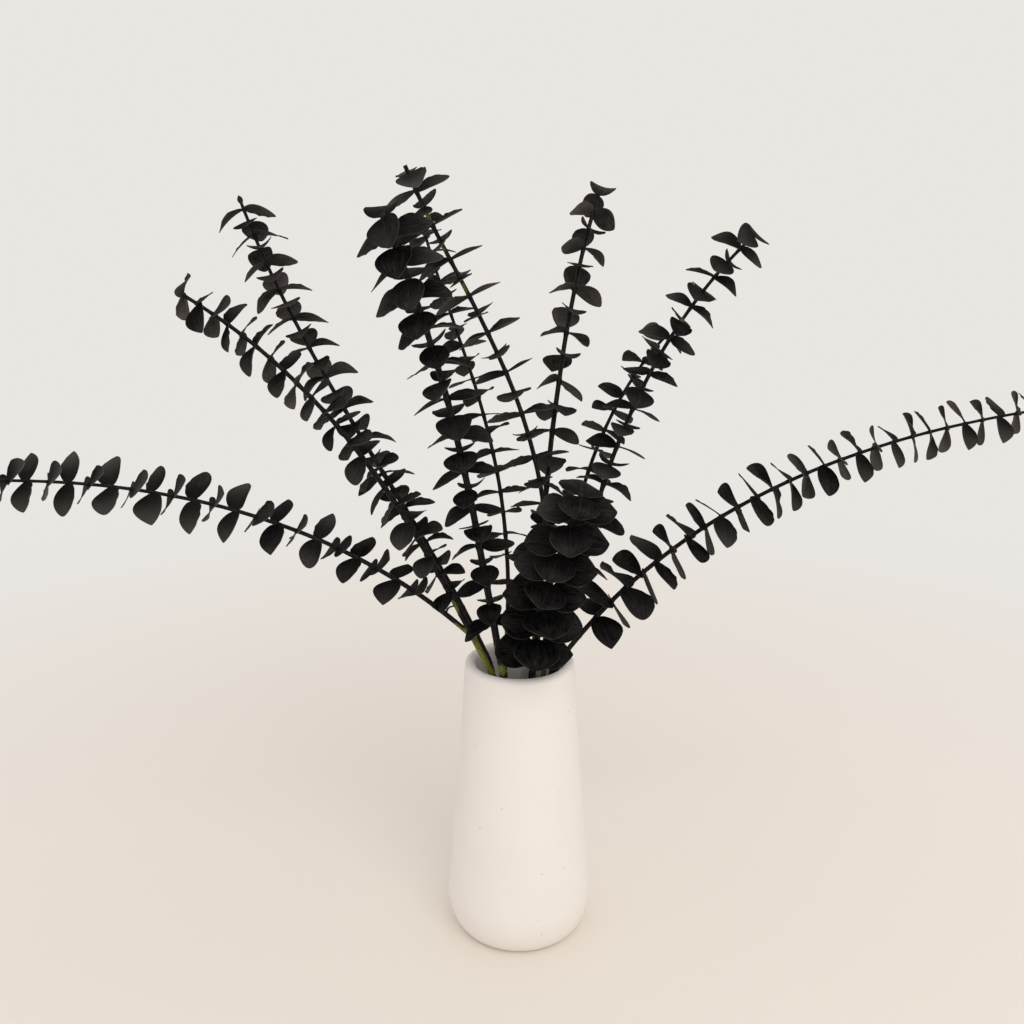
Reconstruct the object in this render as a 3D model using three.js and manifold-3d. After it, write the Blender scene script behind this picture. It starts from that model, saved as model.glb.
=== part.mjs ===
// Preserved baby eucalyptus in a ceramic vase.
// Millimetres, +Z up. The origin is the middle of the vase's underside.
// +X is to the right as the arrangement is seen from the front, +Y points away to the back.

import * as THREE from "three";
import { mergeVertices } from "three/addons/utils/BufferGeometryUtils.js";
import Module from "manifold-3d";

const wasm = await Module();
wasm.setup();

// The vase: a bottle-like cone with a full round lip and a rounded lower corner.
const VASE_HEIGHT = 205;
const VASE_FOOT_RADIUS = 38;
const VASE_WIDEST_RADIUS = 51.5;
const VASE_WIDEST_HEIGHT = 28;
const VASE_LIP_RADIUS = 38;
const VASE_WALL = 7.5;
const VASE_FLOOR = 9;
const VASE_FLOOR_CORNER = 8;
const VASE_SIDES = 36;

// How every stem stands in the vase.
const SEAT_GAP = 0.3;
const FOOT_SPREAD = 1;
const SPIRAL_TURN = 50;
const FOOT_PULL = 120;
const LIP_PULL = 80;

// Stems.
const STEM_SIDES = 5;
const STEM_STRIDE = 24;
const STEM_TAPER = 0.9;
const TWIG_SIDES = 4;
const TWIG_RADII = [0.8, 0.5];

// Leaves. The outline goes round a blade from one side of its root to the other,
// as shares of the blade's length and width.
const LEAF_THICKNESS = 1.2;
const BREADTH_QUIRK = 0.06;
const FACING_QUIRK = 0.6;
const LIGHT_WAY = new THREE.Vector3(0, -0.6, 0.8);
const LEAF_OUTLINE = [
  [0.4, -0.47],
  [0.78, -0.4],
  [1, 0],
  [0.78, 0.4],
  [0.4, 0.47],
];
const COLLAR_GAP = 0.5;
const COLLAR_WALL = 1.1;
const COLLAR_SIDES = 6;
const LOOSE_PAIRS = 4;
const SHORTEST_EDGE = 0.02; // edges shorter than this are closed up where a blade meets its stem

// Each stem, from where it passes the vase's lip.
// mouth: the compass bearing of that place, with 0 to the right and 90 to the back, and how far out it is.
// lean: degrees from upright at the lip, as drawn in the middle, and at the tip.
// bearing: the way it leans, at the lip and at the tip. length: from the lip to the tip.
// thick: the radius at the foot and at the tip.
// leaves: how far above the lip the first pair sits, how many pairs, and the turn of the first pair.
// size: the length of a leaf at the lowest pair and at the tip.
// breadth: the width of a leaf as a share of its length, at the lowest pair and at the tip.
// droop: degrees that the leaves bend back towards the foot, and what is added for a leaf that points up.
// facing: how far the faces of the upper leaves turn from the stem's heading towards the light.
const STEMS = [
  {
    name: "left_forked",
    mouth: [222, 27],
    lean: [25, 26, 58],
    bearing: [181, 194],
    length: 317,
    thick: [3.0, 1.1],
    leaves: [62, 22, 124],
    size: [21, 19],
    breadth: [0.8, 0.78],
    droop: [17, -28],
    facing: 0.35,
    branch: {
      name: "left_forked_branch",
      from: 26,
      lean: [46, 69, 85],
      bearing: [180, 215],
      length: 332,
      thick: [1.8, 0.8],
      leaves: [51, 23, 50],
      size: [21, 21],
      breadth: [0.9, 0.8],
      droop: [6, 10],
      facing: 1.3,
      twig: {
        from: 24,
        points: [
          [-49.5, -20.5, 248.5],
          [-47, -22.3, 251],
          [-43, -23.3, 252.3],
        ],
      },
    },
  },
  {
    name: "left_back",
    mouth: [176, 22],
    lean: [24, 43, 27],
    bearing: [172, 142],
    length: 357,
    thick: [2.5, 1.1],
    leaves: [78, 24, 80],
    size: [21, 23],
    breadth: [0.8, 0.84],
    droop: [20, 12],
    facing: 0.3,
  },
  {
    name: "centre_front",
    mouth: [246, 27],
    lean: [11, 5, 37],
    bearing: [199, 242],
    length: 314,
    thick: [3.2, 1.6],
    leaves: [38, 24, 0],
    size: [21, 24],
    breadth: [0.82, 0.95],
    droop: [14, -8],
    facing: 0.0,
  },
  {
    name: "centre_back",
    mouth: [110, 27],
    lean: [-14, 44, 14],
    bearing: [102, 160],
    length: 312,
    thick: [2.0, 1.0],
    leaves: [69, 20, 60],
    size: [20, 19],
    breadth: [0.76, 0.8],
    droop: [8, -10],
    facing: 0.1,
  },
  {
    name: "centre_tall",
    mouth: [16, 18],
    lean: [-15, 34, 28],
    bearing: [96, 223],
    length: 345,
    thick: [1.9, 1.3],
    leaves: [80, 20, 0],
    size: [22, 23],
    breadth: [0.8, 0.76],
    droop: [2, 0],
    facing: 0.0,
  },
  {
    name: "upright",
    mouth: [66, 27],
    lean: [11, 14, 34],
    bearing: [73, 59],
    length: 337,
    thick: [2.7, 1.4],
    leaves: [75, 16, 170],
    size: [23, 22],
    breadth: [0.9, 0.84],
    droop: [24, 0],
    facing: 0.0,
  },
  {
    name: "right_front",
    mouth: [5, 27],
    lean: [12, 10, 48],
    bearing: [-24, -30],
    length: 317,
    thick: [2.8, 0.9],
    leaves: [72, 20, 10],
    size: [22, 17],
    breadth: [0.86, 0.92],
    droop: [12, 14],
    facing: 0.1,
  },
  {
    name: "right_back",
    mouth: [27, 27],
    lean: [6, 13, 51],
    bearing: [39, 27],
    length: 244,
    thick: [2.3, 1.0],
    leaves: [98, 11, 45],
    size: [20, 18],
    breadth: [0.86, 0.88],
    droop: [12, 10],
    facing: 0.1,
  },
  {
    name: "right_low",
    mouth: [343, 27],
    lean: [36, 64, 78],
    bearing: [10, -20],
    length: 366,
    thick: [2.4, 0.8],
    leaves: [43, 28, 58],
    size: [28, 18],
    breadth: [1.0, 0.7],
    droop: [14, 0],
    facing: 0.75,
  },
  {
    name: "front",
    mouth: [291, 25],
    lean: [30, 40, 30],
    bearing: [273, 296],
    length: 179,
    thick: [2.6, 1.4],
    leaves: [23, 12, 0],
    size: [27, 24],
    breadth: [1.08, 1.0],
    droop: [4, 22],
    facing: 0.0,
  },
];

const leafMaterial = new THREE.MeshStandardMaterial({ color: 0x161618, roughness: 0.7, metalness: 0 });
const stemMaterial = new THREE.MeshStandardMaterial({ color: 0x1f1d1b, roughness: 0.6, metalness: 0 });
const vaseMaterial = new THREE.MeshStandardMaterial({ color: 0xefe7dc, roughness: 0.85, metalness: 0 });

const radians = THREE.MathUtils.degToRad;
const mix = THREE.MathUtils.lerp;

// A growth irregularity between -1 and 1 that is always the same for the same leaf.
function vary(stem, pair, trait) {
  const wave = Math.sin(stem * 12.9898 + pair * 78.233 + trait * 37.719) * 43758.5453;
  return 2 * (wave - Math.floor(wave)) - 1;
}

function toSolid(geometry) {
  const bare = geometry.index ? geometry.toNonIndexed() : geometry.clone();
  bare.deleteAttribute("normal");
  bare.deleteAttribute("uv");
  const joined = mergeVertices(bare, 1e-4);
  const solid = new wasm.Manifold(
    new wasm.Mesh({
      numProp: 3,
      vertProperties: new Float32Array(joined.attributes.position.array),
      triVerts: new Uint32Array(joined.index.array),
    }),
  );
  return solid;
}

function addMesh(parent, name, solid, material) {
  const { vertProperties, triVerts } = solid.getMesh();
  const geometry = new THREE.BufferGeometry();
  geometry.setAttribute("position", new THREE.BufferAttribute(vertProperties, 3));
  geometry.setIndex(new THREE.BufferAttribute(triVerts, 1));
  geometry.computeVertexNormals();
  const mesh = new THREE.Mesh(geometry, material);
  mesh.name = name;
  parent.add(mesh);
}

// The vase's section, from the middle of its underside up the outside, over the lip and down the inside.
function vaseProfile() {
  const points = [new THREE.Vector2(0, 0)];
  const cornerSteps = 5;
  for (let i = 0; i <= cornerSteps; i += 1) {
    const turn = (Math.PI / 2) * (i / cornerSteps);
    const out = VASE_FOOT_RADIUS + (VASE_WIDEST_RADIUS - VASE_FOOT_RADIUS) * Math.sin(turn);
    points.push(new THREE.Vector2(out, VASE_WIDEST_HEIGHT * (1 - Math.cos(turn))));
  }
  const sideSteps = 3;
  const lipCentreHeight = VASE_HEIGHT - VASE_WALL / 2;
  const taper = (share) => mix(VASE_WIDEST_RADIUS, VASE_LIP_RADIUS, share * (1.16 - 0.16 * share));
  for (let i = 1; i <= sideSteps; i += 1) {
    const share = i / sideSteps;
    points.push(new THREE.Vector2(taper(share), mix(VASE_WIDEST_HEIGHT, lipCentreHeight, share)));
  }
  const lipSteps = 6;
  for (let i = 1; i <= lipSteps; i += 1) {
    const turn = Math.PI * (i / lipSteps);
    const out = VASE_LIP_RADIUS - (VASE_WALL / 2) * (1 - Math.cos(turn));
    points.push(new THREE.Vector2(out, lipCentreHeight + (VASE_WALL / 2) * Math.sin(turn)));
  }
  for (let i = sideSteps - 1; i >= 0; i -= 1) {
    const share = i / sideSteps;
    points.push(new THREE.Vector2(taper(share) - VASE_WALL, mix(VASE_WIDEST_HEIGHT, lipCentreHeight, share)));
  }
  const floorRadius = VASE_WIDEST_RADIUS - VASE_WALL - VASE_FLOOR_CORNER;
  const cornerRise = VASE_FLOOR + VASE_FLOOR_CORNER * 0.35;
  points.push(new THREE.Vector2(floorRadius + VASE_FLOOR_CORNER * 0.7, cornerRise));
  points.push(new THREE.Vector2(floorRadius, VASE_FLOOR));
  points.push(new THREE.Vector2(0, VASE_FLOOR));
  return points;
}

function buildVase(parent) {
  const geometry = new THREE.LatheGeometry(vaseProfile(), VASE_SIDES);
  geometry.rotateX(Math.PI / 2);
  addMesh(parent, "vase", toSolid(geometry), vaseMaterial);
}

function mouthPlace([bearing, out]) {
  const way = radians(bearing);
  return new THREE.Vector3(out * Math.cos(way), out * Math.sin(way), VASE_HEIGHT);
}

// The place and the heading of a growing stem at every whole millimetre of its length.
function grow(start, { lean, bearing, length }) {
  const places = [start.clone()];
  const headings = [];
  for (let i = 0; i <= length; i += 1) {
    const share = (i + 0.5) / length;
    const rest = 1 - share;
    const tilt = radians(rest ** 2 * lean[0] + 2 * share * rest * lean[1] + share ** 2 * lean[2]);
    const way = radians(mix(bearing[0], bearing[1], share));
    const heading = new THREE.Vector3(
      Math.sin(tilt) * Math.cos(way),
      Math.sin(tilt) * Math.sin(way),
      Math.cos(tilt),
    );
    headings.push(heading);
    places.push(places[i].clone().add(heading));
  }
  return { places, headings, length };
}

// The hidden stretch from the cut foot on the vase's floor to the lip. The stems cross in a spiral.
function hiddenStretch(stem, first) {
  const mouth = mouthPlace(stem.mouth);
  const way = radians(stem.mouth[0] + SPIRAL_TURN);
  const foot = new THREE.Vector3(Math.cos(way), Math.sin(way), 0).multiplyScalar(stem.mouth[1] + FOOT_SPREAD);
  foot.z = VASE_FLOOR;
  const upwards = mouth.clone().sub(foot).normalize();
  const sideways = Math.hypot(upwards.x, upwards.y);
  foot.z += SEAT_GAP + stem.thick[0] * sideways;
  const steps = Math.round(VASE_HEIGHT / STEM_STRIDE);
  const points = [];
  for (let i = 0; i < steps; i += 1) {
    const t = i / steps;
    const point = foot.clone().multiplyScalar(2 * t ** 3 - 3 * t ** 2 + 1);
    point.addScaledVector(upwards, FOOT_PULL * (t ** 3 - 2 * t ** 2 + t));
    point.addScaledVector(mouth, -2 * t ** 3 + 3 * t ** 2);
    point.addScaledVector(first, LIP_PULL * (t ** 3 - t ** 2));
    points.push(point);
  }
  return points;
}

function visibleStretch(growth) {
  const steps = Math.round(growth.length / STEM_STRIDE);
  const points = [];
  for (let i = 0; i <= steps; i += 1) {
    points.push(growth.places[Math.round((i / steps) * growth.length)]);
  }
  return points;
}

function radiusAt([footRadius, tipRadius], share) {
  return mix(footRadius, tipRadius, share ** STEM_TAPER);
}

// A round rod along a route, thinning from its foot to its tip.
function taperedRod(points, radii, sides) {
  const route = new THREE.CatmullRomCurve3(points, false, "catmullrom", 0.5);
  const steps = points.length - 1;
  const ring = [];
  for (let i = 0; i < sides; i += 1) {
    const turn = (2 * Math.PI * i) / sides;
    ring.push(new THREE.Vector2(Math.cos(turn), Math.sin(turn)));
  }
  const geometry = new THREE.ExtrudeGeometry(new THREE.Shape(ring), {
    steps,
    bevelEnabled: false,
    extrudePath: route,
  });
  const spine = route.getSpacedPoints(steps);
  const position = geometry.attributes.position;
  const corner = new THREE.Vector3();
  for (let i = 0; i < position.count; i += 1) {
    corner.fromBufferAttribute(position, i);
    let nearest = 0;
    for (let k = 1; k <= steps; k += 1) {
      if (spine[k].distanceToSquared(corner) < spine[nearest].distanceToSquared(corner)) nearest = k;
    }
    corner.sub(spine[nearest]).multiplyScalar(radiusAt(radii, nearest / steps)).add(spine[nearest]);
    position.setXYZ(i, corner.x, corner.y, corner.z);
  }
  return toSolid(geometry);
}

// Where each pair of leaves sits on a stem and how its two leaves lie.
function leafPairs(index, axis, growth) {
  const [firstHeight, count, firstTurn] = axis.leaves;
  const lastHeight = growth.length - 5;
  const pairs = [];
  for (let i = 0; i < count; i += 1) {
    const share = i / (count - 1);
    const height = mix(firstHeight, lastHeight, share * (1.2 - 0.2 * share));
    const place = growth.places[Math.round(height)];
    const heading = growth.headings[Math.round(height)];
    const sideways = new THREE.Vector3().crossVectors(heading, new THREE.Vector3(0, 1, 0)).normalize();
    const towards = new THREE.Vector3().crossVectors(sideways, heading);
    const turn = radians(firstTurn + 90 * i + 14 * vary(index, i, 0));
    const leaves = [0, 1].map((side) => {
      const way = turn + Math.PI * side;
      const level = sideways.clone().multiplyScalar(Math.cos(way)).addScaledVector(towards, Math.sin(way));
      const droop = radians(axis.droop[0] + axis.droop[1] * level.z + 9 * vary(index, i, 1 + side));
      const face = heading.clone();
      if (i >= LOOSE_PAIRS) {
        const turned = axis.facing + FACING_QUIRK * vary(index, i, 25 + side);
        face.addScaledVector(LIGHT_WAY, turned).projectOnPlane(level).normalize();
      }
      const outward = level.clone().multiplyScalar(Math.cos(droop));
      outward.addScaledVector(face, -Math.sin(droop));
      const across = new THREE.Vector3().crossVectors(face, level);
      const length = mix(axis.size[0], axis.size[1], share) * (1 + 0.1 * vary(index, i, 3 + side));
      const breadth = mix(axis.breadth[0], axis.breadth[1], share) + BREADTH_QUIRK * vary(index, i, 5 + side);
      const width = length * breadth;
      return { outward, across, length, width };
    });
    pairs.push({ place, heading, height, leaves });
  }
  return pairs;
}

// One leaf blade: a thin lens with a blunt-pointed, egg-shaped outline.
function leafBlade(place, { outward, across, length, width }) {
  const up = new THREE.Vector3().crossVectors(outward, across);
  const at = (along, side, lift) =>
    place
      .clone()
      .addScaledVector(outward, along * length)
      .addScaledVector(across, side * width)
      .addScaledVector(up, lift);
  const rim = [at(0, 0, 0), ...LEAF_OUTLINE.map(([along, side]) => at(along, side, 0))];
  const top = at(0.5, 0, LEAF_THICKNESS / 2);
  const bottom = at(0.5, 0, -LEAF_THICKNESS / 2);
  const corners = [];
  for (let i = 0; i < rim.length; i += 1) {
    const next = rim[(i + 1) % rim.length];
    corners.push(rim[i], next, top);
    corners.push(next, rim[i], bottom);
  }
  return toSolid(new THREE.BufferGeometry().setFromPoints(corners));
}

// A pair of leaves whose bases meet in one collar that clasps the stem.
function claspingPair(pair, stemRadius) {
  const [one, other] = pair.leaves;
  const hole = (stemRadius + COLLAR_GAP) / Math.cos(Math.PI / COLLAR_SIDES);
  const flank = hole + COLLAR_WALL;
  const halfOf = ({ length, width }, way) =>
    LEAF_OUTLINE.map(([along, side]) => new THREE.Vector2(way * along * length, way * side * width));
  const shape = new THREE.Shape([
    new THREE.Vector2(0, -flank),
    ...halfOf(one, 1),
    new THREE.Vector2(0, flank),
    ...halfOf(other, -1),
  ]);
  const bore = new THREE.Path();
  for (let i = 0; i <= COLLAR_SIDES; i += 1) {
    const turn = (2 * Math.PI * (0.5 - i)) / COLLAR_SIDES;
    if (i === 0) bore.moveTo(hole * Math.cos(turn), hole * Math.sin(turn));
    else bore.lineTo(hole * Math.cos(turn), hole * Math.sin(turn));
  }
  shape.holes.push(bore);
  const geometry = new THREE.ExtrudeGeometry(shape, { depth: LEAF_THICKNESS, bevelEnabled: false, steps: 1 });
  const position = geometry.attributes.position;
  for (let i = 0; i < position.count; i += 1) {
    const along = position.getX(i);
    const corner = pair.place.clone();
    corner.addScaledVector((along > 0 ? one : other).outward, Math.abs(along));
    corner.addScaledVector(one.across, position.getY(i));
    corner.addScaledVector(pair.heading, position.getZ(i) - LEAF_THICKNESS / 2);
    position.setXYZ(i, corner.x, corner.y, corner.z);
  }
  return toSolid(geometry);
}

// The lowest pairs of a stem clasp it loosely. The blades of the others have grown on to it.
function buildLeaves(parent, axis, growth, index, startShare) {
  const grownOn = [];
  leafPairs(index, axis, growth).forEach((pair, i) => {
    if (i < LOOSE_PAIRS) {
      const thick = radiusAt(axis.thick, mix(startShare, 1, pair.height / growth.length));
      addMesh(parent, `leaf_pair_${axis.name}_${i + 1}`, claspingPair(pair, thick), leafMaterial);
    } else {
      pair.leaves.forEach((leaf) => grownOn.push(leafBlade(pair.place, leaf)));
    }
  });
  return grownOn;
}

function buildStem(parent, stem, index) {
  const growth = grow(mouthPlace(stem.mouth), stem);
  const hidden = hiddenStretch(stem, growth.headings[0]);
  const route = [...hidden, ...visibleStretch(growth)];
  const lipShare = hidden.length / (route.length - 1);
  const parts = [taperedRod(route, stem.thick, STEM_SIDES)];
  parts.push(...buildLeaves(parent, stem, growth, index, lipShare));
  if (stem.branch) {
    const { branch } = stem;
    const branchGrowth = grow(growth.places[branch.from], branch);
    parts.push(taperedRod(visibleStretch(branchGrowth), branch.thick, STEM_SIDES));
    parts.push(...buildLeaves(parent, branch, branchGrowth, index + STEMS.length, 0));
    const twigPoints = branch.twig.points.map((point) => new THREE.Vector3(...point));
    parts.push(taperedRod([branchGrowth.places[branch.twig.from], ...twigPoints], TWIG_RADII, TWIG_SIDES));
  }
  addMesh(parent, `stem_${stem.name}`, wasm.Manifold.union(parts).simplify(SHORTEST_EDGE), stemMaterial);
}

const group = new THREE.Group();
buildVase(group);
STEMS.forEach((stem, index) => buildStem(group, stem, index));

export default group;
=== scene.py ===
# Preserved baby eucalyptus in a ceramic vase.
# Metres, +Z up. The origin is the middle of the vase's underside.
# +X is to the right as the arrangement is seen from the front, +Y points away to the back.

import math

import bpy
from mathutils import Matrix, Vector


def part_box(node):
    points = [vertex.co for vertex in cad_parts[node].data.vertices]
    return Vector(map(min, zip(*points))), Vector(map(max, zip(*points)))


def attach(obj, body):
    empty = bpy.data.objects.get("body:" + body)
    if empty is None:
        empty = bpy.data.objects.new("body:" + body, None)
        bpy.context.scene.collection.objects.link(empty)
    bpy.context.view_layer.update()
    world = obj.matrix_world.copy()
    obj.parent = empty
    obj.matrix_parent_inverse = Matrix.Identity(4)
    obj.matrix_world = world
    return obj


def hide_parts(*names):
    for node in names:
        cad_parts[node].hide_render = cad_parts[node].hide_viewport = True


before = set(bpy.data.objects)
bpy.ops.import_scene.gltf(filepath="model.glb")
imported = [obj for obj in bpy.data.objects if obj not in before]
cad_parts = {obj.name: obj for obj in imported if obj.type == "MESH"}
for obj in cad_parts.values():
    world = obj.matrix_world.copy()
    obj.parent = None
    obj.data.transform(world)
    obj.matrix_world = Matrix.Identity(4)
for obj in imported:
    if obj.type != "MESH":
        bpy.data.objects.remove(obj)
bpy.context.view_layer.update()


# The camera stands a little above the tips of the sprays and looks down at them.
# Its view is as wide as it is far away.
CAMERA_PLACE = Vector((-0.0052, -0.6576, 0.4875))
CAMERA_PITCH = 15.09
CAMERA_SENSOR = 36

camera_lens = bpy.data.cameras.new("camera")
camera_lens.sensor_width = CAMERA_SENSOR
camera_lens.lens = CAMERA_SENSOR
camera_lens.clip_start = 0.01
camera = bpy.data.objects.new("camera", camera_lens)
camera.location = CAMERA_PLACE
camera.rotation_euler = (math.radians(90 - CAMERA_PITCH), 0, 0)
bpy.context.scene.collection.objects.link(camera)
bpy.context.scene.camera = camera


# The vase is one hollow piece of warm off-white stoneware, cast, sanded smooth and left unglazed.
# It stands on a flat foot, swells to a rounded lower corner and tapers up to a full round lip.
vase_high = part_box("vase")[1]
VASE_HEIGHT = vase_high.z
VASE_WIDEST_RADIUS = vase_high.x
VASE_WIDEST_HEIGHT = 0.028
VASE_FOOT_RADIUS = 0.038
VASE_LIP_RADIUS = 0.038
VASE_WALL = 0.0075
VASE_FLOOR = 0.009
VASE_FLOOR_CORNER = 0.008
VASE_FOOT_EDGE = 0.0012
VASE_SIDE_BOW = 0.16
VASE_UNEVENNESS = 0.00014
VASE_SIDES = 112
STONEWARE_PALE = (0.86, 0.81, 0.77, 1)
STONEWARE_DULL = (0.81, 0.755, 0.70, 1)
STONEWARE_PIT = (0.34, 0.26, 0.19, 1)


def vase_outline():
    """The section from the middle of the underside, up the outside, over the lip and down the inside."""
    points = [(0, 0), (VASE_FOOT_RADIUS - 2 * VASE_FOOT_EDGE, 0)]
    corner_steps = 22
    for i in range(1, corner_steps + 1):
        turn = math.pi / 2 * i / corner_steps
        out = VASE_FOOT_RADIUS + (VASE_WIDEST_RADIUS - VASE_FOOT_RADIUS) * math.sin(turn)
        points.append((out, VASE_WIDEST_HEIGHT * (1 - math.cos(turn))))
    lip_radius = VASE_WALL / 2
    lip_centre = VASE_HEIGHT - lip_radius
    side_steps = 36
    side = []
    for i in range(side_steps + 1):
        share = i / side_steps
        narrowing = share * (1 + VASE_SIDE_BOW - VASE_SIDE_BOW * share)
        out = VASE_WIDEST_RADIUS + (VASE_LIP_RADIUS - VASE_WIDEST_RADIUS) * narrowing
        side.append((out, VASE_WIDEST_HEIGHT + (lip_centre - VASE_WIDEST_HEIGHT) * share))
    points += side[1:]
    lip_steps = 14
    for i in range(1, lip_steps + 1):
        turn = math.pi * i / lip_steps
        out = VASE_LIP_RADIUS - lip_radius * (1 - math.cos(turn))
        points.append((out, lip_centre + lip_radius * math.sin(turn)))
    points += [(out - VASE_WALL, height) for out, height in reversed(side[:-1])]
    hollow_radius = VASE_WIDEST_RADIUS - VASE_WALL
    drop = VASE_WIDEST_HEIGHT - VASE_FLOOR
    for i in range(1, corner_steps + 1):
        turn = math.pi / 2 * i / corner_steps
        out = hollow_radius - VASE_FLOOR_CORNER * (1 - math.cos(turn))
        points.append((out, VASE_WIDEST_HEIGHT - drop * math.sin(turn)))
    points.append((0, VASE_FLOOR))
    return points


def turned_mesh(name, outline, sides):
    """A body of revolution about the Z axis, whose outline starts and ends on that axis."""
    vertices = [(0, 0, outline[0][1])]
    for out, height in outline[1:-1]:
        for k in range(sides):
            turn = 2 * math.pi * k / sides
            wave = math.sin(2 * turn + 31 * height) + 0.6 * math.sin(5 * turn - 57 * height)
            reach = out + VASE_UNEVENNESS * wave * min(1, height / VASE_WIDEST_HEIGHT)
            vertices.append((reach * math.cos(turn), reach * math.sin(turn), height))
    vertices.append((0, 0, outline[-1][1]))
    rings = len(outline) - 2
    last = len(vertices) - 1
    faces = []
    for k in range(sides):
        after = (k + 1) % sides
        faces.append((0, 1 + after, 1 + k))
        for ring in range(rings - 1):
            low = 1 + ring * sides
            high = low + sides
            faces.append((low + k, low + after, high + after, high + k))
        top = 1 + (rings - 1) * sides
        faces.append((top + k, top + after, last))
    mesh = bpy.data.meshes.new(name)
    mesh.from_pydata(vertices, [], faces)
    mesh.shade_smooth()
    return mesh


def add_node(tree, kind, inputs=(), **settings):
    """Adds a shader node, sets its options and sets its inputs to values or joins them to sockets."""
    node = tree.nodes.new(kind)
    for option, value in settings.items():
        setattr(node, option, value)
    for socket, value in dict(inputs).items():
        if isinstance(value, bpy.types.NodeSocket):
            tree.links.new(value, node.inputs[socket])
        else:
            node.inputs[socket].default_value = value
    return node


def math_node(tree, operation, *values):
    """One sum on values or sockets."""
    return add_node(tree, "ShaderNodeMath", enumerate(values), operation=operation).outputs[0]


def between(tree, value, low, high):
    """A smooth step of a value: 0 below low and 1 above high."""
    inputs = {"Value": value, "From Min": low, "From Max": high}
    node = add_node(tree, "ShaderNodeMapRange", inputs, interpolation_type="SMOOTHSTEP")
    return node.outputs["Result"]


def mix_colour(tree, share, one, other):
    """One colour at share 0 and the other at share 1."""
    node = add_node(tree, "ShaderNodeMix", {"Factor": share, "A": one, "B": other}, data_type="RGBA")
    return node.outputs["Result"]


def new_group(name, inputs, outputs):
    """An empty shader group with number inputs, a vector input called Place and number outputs."""
    tree = bpy.data.node_groups.new(name, "ShaderNodeTree")
    tree.interface.new_socket("Place", in_out="INPUT", socket_type="NodeSocketVector")
    for socket in inputs:
        tree.interface.new_socket(socket, in_out="INPUT", socket_type="NodeSocketFloat")
    for socket in outputs:
        tree.interface.new_socket(socket, in_out="OUTPUT", socket_type="NodeSocketFloat")
    return tree, tree.nodes.new("NodeGroupInput").outputs, tree.nodes.new("NodeGroupOutput").inputs


def place_group(tree, group, inputs):
    """Adds a shader group, sets its inputs or joins them to sockets, and gives its outputs."""
    return add_node(tree, "ShaderNodeGroup", inputs, node_tree=group).outputs


def build_mottle():
    """Cloudy unevenness in two sizes: Cloud for colour, Grain for a fine, rough surface."""
    tree, given, result = new_group("mottle", ("Cloud Scale", "Grain Scale"), ("Cloud", "Grain"))
    cloud = {"Vector": given["Place"], "Scale": given["Cloud Scale"], "Detail": 3, "Roughness": 0.6}
    grain = {"Vector": given["Place"], "Scale": given["Grain Scale"], "Detail": 2, "Roughness": 0.55}
    cloud_noise = add_node(tree, "ShaderNodeTexNoise", cloud).outputs["Fac"]
    grain_noise = add_node(tree, "ShaderNodeTexNoise", grain).outputs["Fac"]
    tree.links.new(between(tree, cloud_noise, 0.3, 0.7), result["Cloud"])
    tree.links.new(grain_noise, result["Grain"])
    return tree


def build_specks():
    """Scattered round specks of uneven size, as a mask."""
    tree, given, result = new_group("specks", ("Scale", "Size", "Share"), ("Mask",))
    cells = {"Vector": given["Place"], "Scale": given["Scale"], "Randomness": 1}
    voronoi = add_node(tree, "ShaderNodeTexVoronoi", cells)
    rank = add_node(tree, "ShaderNodeSeparateColor", {"Color": voronoi.outputs["Color"]}).outputs
    radius = math_node(tree, "MULTIPLY", given["Size"], math_node(tree, "ADD", rank["Green"], 0.35))
    inside = math_node(tree, "SUBTRACT", radius, voronoi.outputs["Distance"])
    dot = between(tree, inside, 0, 0.08)
    chosen = math_node(tree, "LESS_THAN", rank["Red"], given["Share"])
    tree.links.new(math_node(tree, "MULTIPLY", dot, chosen), result["Mask"])
    return tree


def new_material(name, roughness, specular):
    """A material with its Principled shader, and the node tree to build on."""
    material = bpy.data.materials.new(name)
    material.use_nodes = True
    tree = material.node_tree
    shader = tree.nodes["Principled BSDF"]
    shader.inputs["Roughness"].default_value = roughness
    shader.inputs["Specular IOR Level"].default_value = specular
    return material, tree, shader


mottle = build_mottle()
specks = build_specks()


def unglazed_stoneware():
    """Matt off-white clay with a faint cloudiness, fine dust and a few small brown pits."""
    material, tree, shader = new_material("unglazed_stoneware", 0.85, 0.35)
    place = add_node(tree, "ShaderNodeTexCoord").outputs["Object"]
    uneven = place_group(tree, mottle, {"Place": place, "Cloud Scale": 26, "Grain Scale": 1500})
    pits = place_group(tree, specks, {"Place": place, "Scale": 330, "Size": 0.22, "Share": 0.035})
    dust = place_group(tree, specks, {"Place": place, "Scale": 700, "Size": 0.3, "Share": 0.16})
    colour = mix_colour(tree, uneven["Cloud"], STONEWARE_PALE, STONEWARE_DULL)
    washed = mix_colour(tree, 0.22, STONEWARE_PALE, colour)
    dusty = math_node(tree, "MULTIPLY", dust["Mask"], 0.22)
    speckled = mix_colour(tree, dusty, washed, STONEWARE_DULL)
    pitted = mix_colour(tree, math_node(tree, "MULTIPLY", pits["Mask"], 0.3), speckled, STONEWARE_PIT)
    tree.links.new(pitted, shader.inputs["Base Color"])
    rough = math_node(tree, "MULTIPLY_ADD", uneven["Grain"], 0.25, 0.7)
    tree.links.new(rough, shader.inputs["Roughness"])
    relief = math_node(tree, "SUBTRACT", uneven["Grain"], math_node(tree, "MULTIPLY", pits["Mask"], 1.5))
    bump = add_node(tree, "ShaderNodeBump", {"Height": relief, "Strength": 0.35, "Distance": 0.0002})
    tree.links.new(bump.outputs["Normal"], shader.inputs["Normal"])
    return material


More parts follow.
